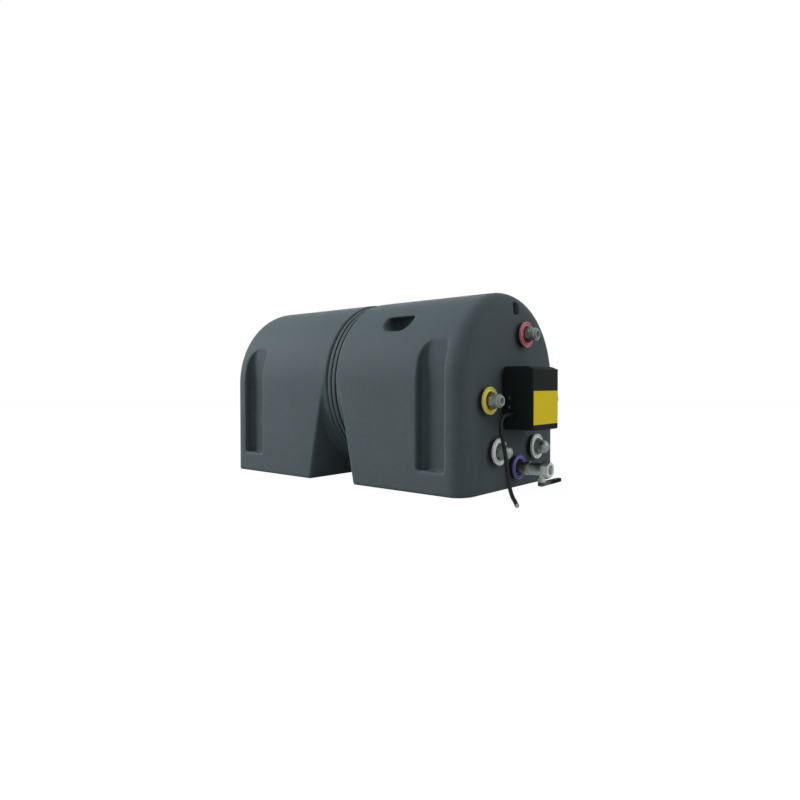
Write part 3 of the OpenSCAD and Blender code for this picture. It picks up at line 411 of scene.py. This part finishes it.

# %% [markdown]
# ## Metals
# The fittings are dull plated brass, the cold pipe olive with tarnish and darker still by painted shade,
# the tank bright steel. A turned part shows fine rings across its axis, so its noise is squeezed along X
# until it becomes lines.
# Tarnish is a slow noise that lowers the shine and darkens the colour in patches.


# %% Metal finishes
def turned_metal(name, rough, stained_rough, patchy):
    """A metal with turned lines and tarnished patches, which still lacks its colour."""
    look = Finish(name, metallic=1.0)
    lines = look.noise(60.0, 3.0, stretch=(26.0, 1.0, 1.0))
    patches = look.noise(70.0, 4.0).above(patchy, 0.25)
    look.feed(roughness=lines * 0.14 + patches * (stained_rough - rough) + rough)
    look.bump(lines + look.noise(500.0, 2.0) * 0.5, strength=0.12, distance=0.0002)
    return look, lines, patches


def metal(name, colour, stain, **surface):
    look, lines, patches = turned_metal(name, **surface)
    brighter = look.blend(lines, tint(colour, 0.86), tint(colour, 1.12))
    look.feed(base_color=look.blend(patches, brighter, tint(stain)))
    return look


nickel = metal("dull_nickel", (0.215, 0.25, 0.23), (0.15, 0.175, 0.16),
               rough=0.38, stained_rough=0.54, patchy=0.50)
# Painted shade: the brass is darker than its tarnish alone, for the shadow on the cold pipe between its
# ring and the valve.
brass = metal("tarnished_shaded_brass", (0.13, 0.13, 0.095), (0.06, 0.065, 0.05),
              rough=0.38, stained_rough=0.60, patchy=0.42)
steel = metal("satin_steel", (0.62, 0.63, 0.64), (0.52, 0.53, 0.54),
              rough=0.26, stained_rough=0.38, patchy=0.60)
copper = metal("drawn_copper", (0.72, 0.42, 0.29), (0.42, 0.22, 0.15),
               rough=0.28, stained_rough=0.50, patchy=0.52)
dark_steel = metal("dark_steel", (0.10, 0.105, 0.10), (0.06, 0.06, 0.06),
                   rough=0.35, stained_rough=0.5, patchy=0.5)
print(Finish.made[-5:])

# %% [markdown]
# The valve's colour is painted shade next to the casing, where the box and the casing shade it, and
# painted light at its hexagon, so it changes along X. A little noise on the place keeps the change from
# being a straight line.

# %% Valve finish
# The colours below are painted shade next to the casing and painted light at the valve's hexagon end.
LIT_END = 0.018
VALVE_FADE = 0.014
VALVE_SHADED, VALVE_LIT = (0.19, 0.225, 0.215, 1), (0.43, 0.47, 0.455, 1)

valve_nickel, *_ = turned_metal("valve_nickel", rough=0.36, stained_rough=0.52, patchy=0.50)
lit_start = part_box("valve_body")[1].x - LIT_END
ragged = valve_nickel.along("X") + valve_nickel.noise(90.0, 3.0) * 0.006
brighter = ragged.above(lit_start, VALVE_FADE)
valve_nickel.feed(base_color=valve_nickel.blend(brighter, VALVE_SHADED, VALVE_LIT))
print(Finish.made[-1], "clean from X", round(lit_start / MM), "mm")

# %% [markdown]
# ## Plastics and rubber
# Rings, box, lever and cable are moulded. Their colour is even, but a mould leaves a fine grain, the
# shine changes where hands have been, and dust settles unevenly. One function makes them all from a
# base colour, a grain size and how much they shine.


# %% Plastic finishes
def grained(name, rough=0.42, grain=1200.0, depth=0.0002, gloss=0.3):
    """A moulded surface with a fine grain, which still lacks its colour."""
    look = Finish(name, specular_ior_level=gloss)
    handled = look.noise(28.0, 4.0)
    speck = look.noise(grain, 2.0, 0.6)
    look.feed(roughness=handled * 0.18 + speck * 0.08 + (rough - 0.13))
    look.bump(speck, strength=0.25, distance=depth)
    return look, handled, speck


def moulded(name, colour, uneven=0.10, **surface):
    look, handled, speck = grained(name, **surface)
    tone = handled * 0.7 + speck * 0.3
    look.feed(base_color=look.blend(tone, tint(colour, 1 - uneven), tint(colour, 1 + uneven)))
    return look


yellow = moulded("yellow_plastic", (0.95, 0.84, 0.16))
plate_yellow = moulded("yellow_plate", (0.95, 0.74, 0.012), uneven=0.05,
                       rough=0.46, grain=700.0, depth=0.0001, gloss=0.08)
pale = moulded("white_plastic", (0.94, 0.97, 0.96), uneven=0.03, gloss=0.5)
red = moulded("red_plastic", (0.75, 0.24, 0.28))
blue = moulded("blue_plastic", (0.23, 0.22, 0.62))
grey = moulded("collet_grey", (0.42, 0.46, 0.44), rough=0.45)
cream = moulded("cream_plastic", (0.72, 0.68, 0.58), uneven=0.06, rough=0.45)
black = moulded("black_plastic", (0.0165, 0.0215, 0.0205), uneven=0.25,
                rough=0.58, grain=1700.0, depth=0.0003, gloss=0.03)
rubber = moulded("black_rubber", (0.007, 0.008, 0.008), uneven=0.25,
                 rough=0.55, grain=900.0, gloss=0.16)
# The washers under the rings are real rubber, but their dark colour is painted shade for the shadow
# beside each ring.
washer_shade_grey = moulded("washer_shade_rubber", (0.030, 0.037, 0.039), uneven=0.15,
                      rough=0.60, grain=900.0, gloss=0.08)
print(Finish.made[-10:])

# %% [markdown]
# The lever is worn grey near its pivot and stays black along the handle, so its colour changes along
# its length in the same way as the valve's.

# %% Lever finish
LEVER_WORN = 0.030
LEVER_FADE = 0.012
WORN_GREY, HANDLE_BLACK = (0.15, 0.165, 0.165, 1), (0.003, 0.003, 0.0035, 1)

lever_black, *_ = grained("lever_black", rough=0.60, grain=1400.0, gloss=0.03)
handle_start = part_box("valve_lever")[0].y + LEVER_WORN
ragged = lever_black.along("Y") + lever_black.noise(160.0, 3.0) * 0.008
handle = ragged.above(handle_start, LEVER_FADE)
lever_black.feed(base_color=lever_black.blend(handle, WORN_GREY, HANDLE_BLACK))
print(Finish.made[-1], "black from Y", round(handle_start / MM), "mm")

# %% [markdown]
# ## Dressing the solids
# A solid whose shape is right stays as it is and only gets its finish. The list goes by finish, so
# that pieces of one stuff, seen or hidden inside, share one material.


# %% Dress the solids
def dress(names, finish):
    for name in names.split():
        nodes[name].data.materials.clear()
        nodes[name].data.materials.append(finish.material)


dress("joint_band", band_rubber)
dress("tank_barrel tank_front_end tank_rear_end hot_outlet_pipe spare_nipple_near spare_nipple_far "
      "heater_boss sensor_pocket valve_ball lever_screw", steel)
dress("exchanger_coil engine_pipe_near engine_pipe_far", copper)
dress("spare_cap_near spare_cap_far heating_element valve_stem", nickel)
dress("valve_body gland_nut", valve_nickel)
dress("cold_inlet_pipe heater_plug heater_lock_nut", brass)
dress("engine_ring_near engine_ring_far", yellow)
dress("front_plate", plate_yellow)
dress("spare_ring_near spare_ring_far ball_seats", pale)
dress("hot_ring reset_button", red)
dress("cold_ring", blue)
dress("box_base box_cover thermostat_dial", black)
dress("valve_lever", lever_black)
dress("heater_gasket cover_gasket strain_relief", rubber)
dress("ring_washers", washer_shade_grey)
dress("thermostat_body terminal_block", cream)
cable.data.materials.append(rubber.material)
for core in cores:
    core.data.materials.append((copper if "wire" in core.name else cream).material)
print("dressed with", len(Finish.made), "finishes")

# %% [markdown]
# ## Soft foam edges
# Foam never comes out of a mould with a sharp edge. Beveling every edge of a shell with pockets, grips
# and a round waist is slow and breaks where edges meet, so each shell is copied, rebuilt from small
# voxels and smoothed a few times: edges round off by a few millimetres and flat faces stay put.

# %% Shells
FOAM_VOXEL = 0.0024
SOFT_ROUNDS, SOFT_SHARE = 9, 0.5
SAME_POINT = 1e-6


def softened(name):
    mesh = nodes[name].data.copy()
    welded = bmesh.new()
    welded.from_mesh(mesh)
    bmesh.ops.remove_doubles(welded, verts=welded.verts, dist=SAME_POINT)
    welded.to_mesh(mesh)
    welded.free()
    piece = placed(name + "_foam", mesh)
    voxels = piece.modifiers.new("voxels", "REMESH")
    voxels.mode, voxels.voxel_size, voxels.use_smooth_shade = "VOXEL", FOAM_VOXEL, True
    soften = piece.modifiers.new("soften", "SMOOTH")
    soften.factor, soften.iterations = SOFT_SHARE, SOFT_ROUNDS
    graph = bpy.context.evaluated_depsgraph_get()
    piece.data = bpy.data.meshes.new_from_object(piece.evaluated_get(graph))
    piece.modifiers.clear()
    piece.data.materials.clear()
    piece.data.materials.append(foam.material)
    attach(piece, "heater")
    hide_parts(name)
    return piece


for shell in ("front_shell", "rear_shell"):
    made = softened(shell)
    print(made.name, len(made.data.polygons), "faces")

# %% [markdown]
# ## Broken edges
# Moulded and turned pieces have no knife edges: a fraction of a millimetre is rounded off, and that
# thin strip is what catches the light. A bevel modifier does it without touching the solid's own mesh;
# a weld goes in front of it, because the solids come in with separate points along each face.

# %% Edge rounding
SHARP_FROM = math.radians(38)


def round_edges(names, width):
    for name in names.split():
        weld = nodes[name].modifiers.new("weld", "WELD")
        weld.merge_threshold = SAME_POINT
        bevel = nodes[name].modifiers.new("round", "BEVEL")
        bevel.width, bevel.segments = width, 2
        bevel.limit_method, bevel.angle_limit = "ANGLE", SHARP_FROM
    print("edges of", names, "rounded by", round(width / MM, 1), "mm")


round_edges("box_cover box_base", 0.7 * MM)
round_edges("valve_lever joint_band", 0.6 * MM)
round_edges("valve_body gland_nut spare_cap_near spare_cap_far", 0.4 * MM)

# %% [markdown]
# ## Turned pieces
# Fittings and screws are turned, so they are rings of points joined by faces. Two small helpers serve
# them all: one joins the rings, the other turns the faces outward and keeps the steep edges crisp.


# %% Rings into meshes
def join_rings(build, rings):
    for low, high in zip(rings, rings[1:]):
        for k in range(len(low)):
            build.faces.new((low[k - 1], low[k], high[k], high[k - 1])).smooth = True


def finished_mesh(name, build, crisp_from):
    """The build as a mesh, with edges steeper than the angle left crisp."""
    bmesh.ops.recalc_face_normals(build, faces=build.faces)
    for edge in build.edges:
        edge.smooth = edge.calc_face_angle(0.0) < math.radians(crisp_from)
    mesh = bpy.data.meshes.new(name)
    build.to_mesh(mesh)
    build.free()
    return mesh


print("ring helpers ready")

# %% [markdown]
# ## Push-fits
# A push-fit has a chamfered hexagon, a round body with two grip grooves and a plastic collet in its
# mouth that lets the pipe go. One function spins a closed outline round the pipe's axis, which comes
# from the solid that the fitting stands for. Wherever the outline is wider than the hexagon's flats,
# the flats cut its radius short.

# %% Spinning an outline
SPIN_SIDES = 96


def spun(name, start, outline, half_flats=math.inf):
    """Spin a closed outline of (x, radius), in millimetres from the start, round an axis along X."""
    build = bmesh.new()
    rings = []
    for x, radius in outline:
        ring = []
        for k in range(SPIN_SIDES):
            turn = 2 * math.pi * k / SPIN_SIDES
            flat = half_flats / math.cos(turn % (math.pi / 3) - math.pi / 6)
            reach = min(radius, flat)
            offset = Vector((x, reach * math.sin(turn), reach * math.cos(turn)))
            ring.append(build.verts.new(start + offset * MM))
        rings.append(ring)
    join_rings(build, rings + rings[:1])
    return placed(name, finished_mesh(name, build, crisp_from=30))


print("sides", SPIN_SIDES)

# %% [markdown]
# The body's outline runs along the outside, from the chamfered hexagon over the two grooves to the mouth,
# and back along the inside, past the collet's seat and the stop for the pipe. The collet is a sleeve with
# a flange that fingers can press. All sizes are millimetres from the fitting's inner end.

# %% Push-fit outlines
HEX_HALF, HEX_CORNER, HEX_LEN = 12.5, 14.5, 8.0
CHAMFER, CHAMFER_R = 0.7, 13.2
BARREL_R, BARREL_END = 12.2, 18.0
GROOVE_DEEP, GROOVE_WIDE, GROOVE_SLOPE = 0.45, 1.4, 0.3
GROOVES_AT = 10.0, 13.4
SEAT_R, SEAT_AT, MOUTH_AT = 6.95, 6.0, 16.5
STOP_R, STOP_AT = 5.0, 4.15
PIPE_GAP = 0.15
ENGINE_PIPE_R, HOT_PIPE_R = 8.0, 10.48
COLLET_FROM, COLLET_NECK, COLLET_END = 7.6, 16.6, 21.5
SLEEVE_R, FLANGE_R, BORE_R = 6.85, 9.0, 6.1


def groove(x):
    bottom = BARREL_R - GROOVE_DEEP
    return [(x, BARREL_R), (x + GROOVE_SLOPE, bottom), (x + GROOVE_WIDE - GROOVE_SLOPE, bottom),
            (x + GROOVE_WIDE, BARREL_R)]


def body_outline(pipe_r):
    hexagon = [(0.0, CHAMFER_R), (CHAMFER, HEX_CORNER), (HEX_LEN - CHAMFER, HEX_CORNER),
               (HEX_LEN, CHAMFER_R)]
    barrel = [(HEX_LEN, BARREL_R), *(point for x in GROOVES_AT for point in groove(x)),
              (BARREL_END - 0.8, BARREL_R), (BARREL_END - 0.2, BARREL_R - 0.3),
              (BARREL_END, BARREL_R - 0.9), (BARREL_END, BARREL_R - 3.0), (MOUTH_AT, BARREL_R - 3.1)]
    inside = [(MOUTH_AT, SEAT_R), (SEAT_AT, SEAT_R), (SEAT_AT, STOP_R), (STOP_AT, STOP_R),
              (STOP_AT, pipe_r + PIPE_GAP), (0.0, pipe_r + PIPE_GAP)]
    return hexagon + barrel + inside


collet_outline = [
    (COLLET_FROM, SLEEVE_R), (COLLET_NECK, SLEEVE_R), (COLLET_NECK + 0.2, FLANGE_R - 0.1),
    (COLLET_END - 0.7, FLANGE_R), (COLLET_END - 0.2, FLANGE_R - 0.2), (COLLET_END, FLANGE_R - 0.7),
    (COLLET_END, BORE_R + 0.7), (COLLET_END - 0.5, BORE_R + 0.1), (COLLET_FROM, BORE_R)]
print("outline points", len(body_outline(ENGINE_PIPE_R)), len(collet_outline))

# %% [markdown]
# Each fitting takes its axis and its inner end from the box of the solid that it stands for, so it sits
# exactly where the part has it. The two engine pipes are thinner than the hot outlet.


# %% Push-fits
def push_fit(name, pipe_r):
    low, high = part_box(name)
    start = Vector((low.x, (low.y + high.y) / 2, (low.z + high.z) / 2))
    body = spun(name + "_body", start, body_outline(pipe_r), HEX_HALF)
    collet = spun(name + "_collet", start, collet_outline)
    for piece, finish, slot in ((body, nickel, "nickel"), (collet, grey, "white_plastic")):
        piece.data.materials.append(finish.material)
        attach(piece, "heater")
    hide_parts(name)
    print(body.name, collet.name)


push_fit("engine_fitting_near", ENGINE_PIPE_R)
push_fit("engine_fitting_far", ENGINE_PIPE_R)
push_fit("hot_fitting", HOT_PIPE_R)

# %% [markdown]
# ## Cover screws
# Four small pan-head screws hold the cover to the base. A cross recess could be cut with a boolean, but
# on a head six millimetres wide it is simpler to spin a fine grid and push the points under the cross
# inward, which can never fail and keeps the dome's shading.

# %% Screw profile
DOME_RINGS = 25
HEAD_R, DOME_TOP, DOME_FALL, RIM = 3.0, 1.6, 0.075, 0.5
SHANK_R, SHANK_LEN, TIP_R, TIP_LEN = 1.5, 6.4, 0.9, 0.6

dome_radii = [HEAD_R * j / DOME_RINGS for j in range(DOME_RINGS + 1)]
screw_profile = [(radius, DOME_TOP - DOME_FALL * radius ** 2) for radius in dome_radii]
screw_profile += [(HEAD_R, RIM), (HEAD_R, 0.0), (SHANK_R, 0.0), (SHANK_R, -SHANK_LEN),
                  (TIP_R, -SHANK_LEN - TIP_LEN)]
print("profile points", len(screw_profile))

# %% [markdown]
# The four screws become one mesh. Two sit in each side of the cover, a pitch apart round the middle of
# the solid that they stand for, with their heads on the cover's face.

# %% Screws
SCREW_PITCH = 0.016
SCREW_SIDES, FIRST_POINT = 48, 0.4
CROSS_HALF, CROSS_REACH, CROSS_DEEP = 0.42, 1.75, 0.8
screw_low, screw_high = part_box("cover_screws")
screw_middle = (screw_low + screw_high) / 2
cover_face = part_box("box_cover")[1].y


def screw(build, side, height):
    """One screw, its head on the cover's face at -Y or +Y."""
    rings = []
    for radius, lift in screw_profile:
        ring = []
        for k in range(SCREW_SIDES):
            turn = 2 * math.pi * k / SCREW_SIDES + FIRST_POINT
            u, v = radius * math.cos(turn), radius * math.sin(turn)
            narrow, wide = sorted((abs(u), abs(v)))
            in_cross = lift > RIM and narrow < CROSS_HALF and wide < CROSS_REACH
            out = cover_face + (lift - (CROSS_DEEP if in_cross else 0.0)) * MM
            ring.append(build.verts.new((screw_middle.x + u * MM, side * out, height + v * MM)))
        rings.append(ring)
    join_rings(build, rings)
    build.faces.new(rings[-1])


build = bmesh.new()
for side in (-1, 1):
    for step in (0.5, -0.5):
        screw(build, side, screw_middle.z + step * SCREW_PITCH)
bmesh.ops.remove_doubles(build, verts=build.verts, dist=0.1 * SAME_POINT)
screws = placed("cover_screw_set", finished_mesh("cover_screw_set", build, crisp_from=35))
screws.data.materials.append(dark_steel.material)
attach(screws, "heater")
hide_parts("cover_screws")
print("screw faces", len(screws.data.polygons))
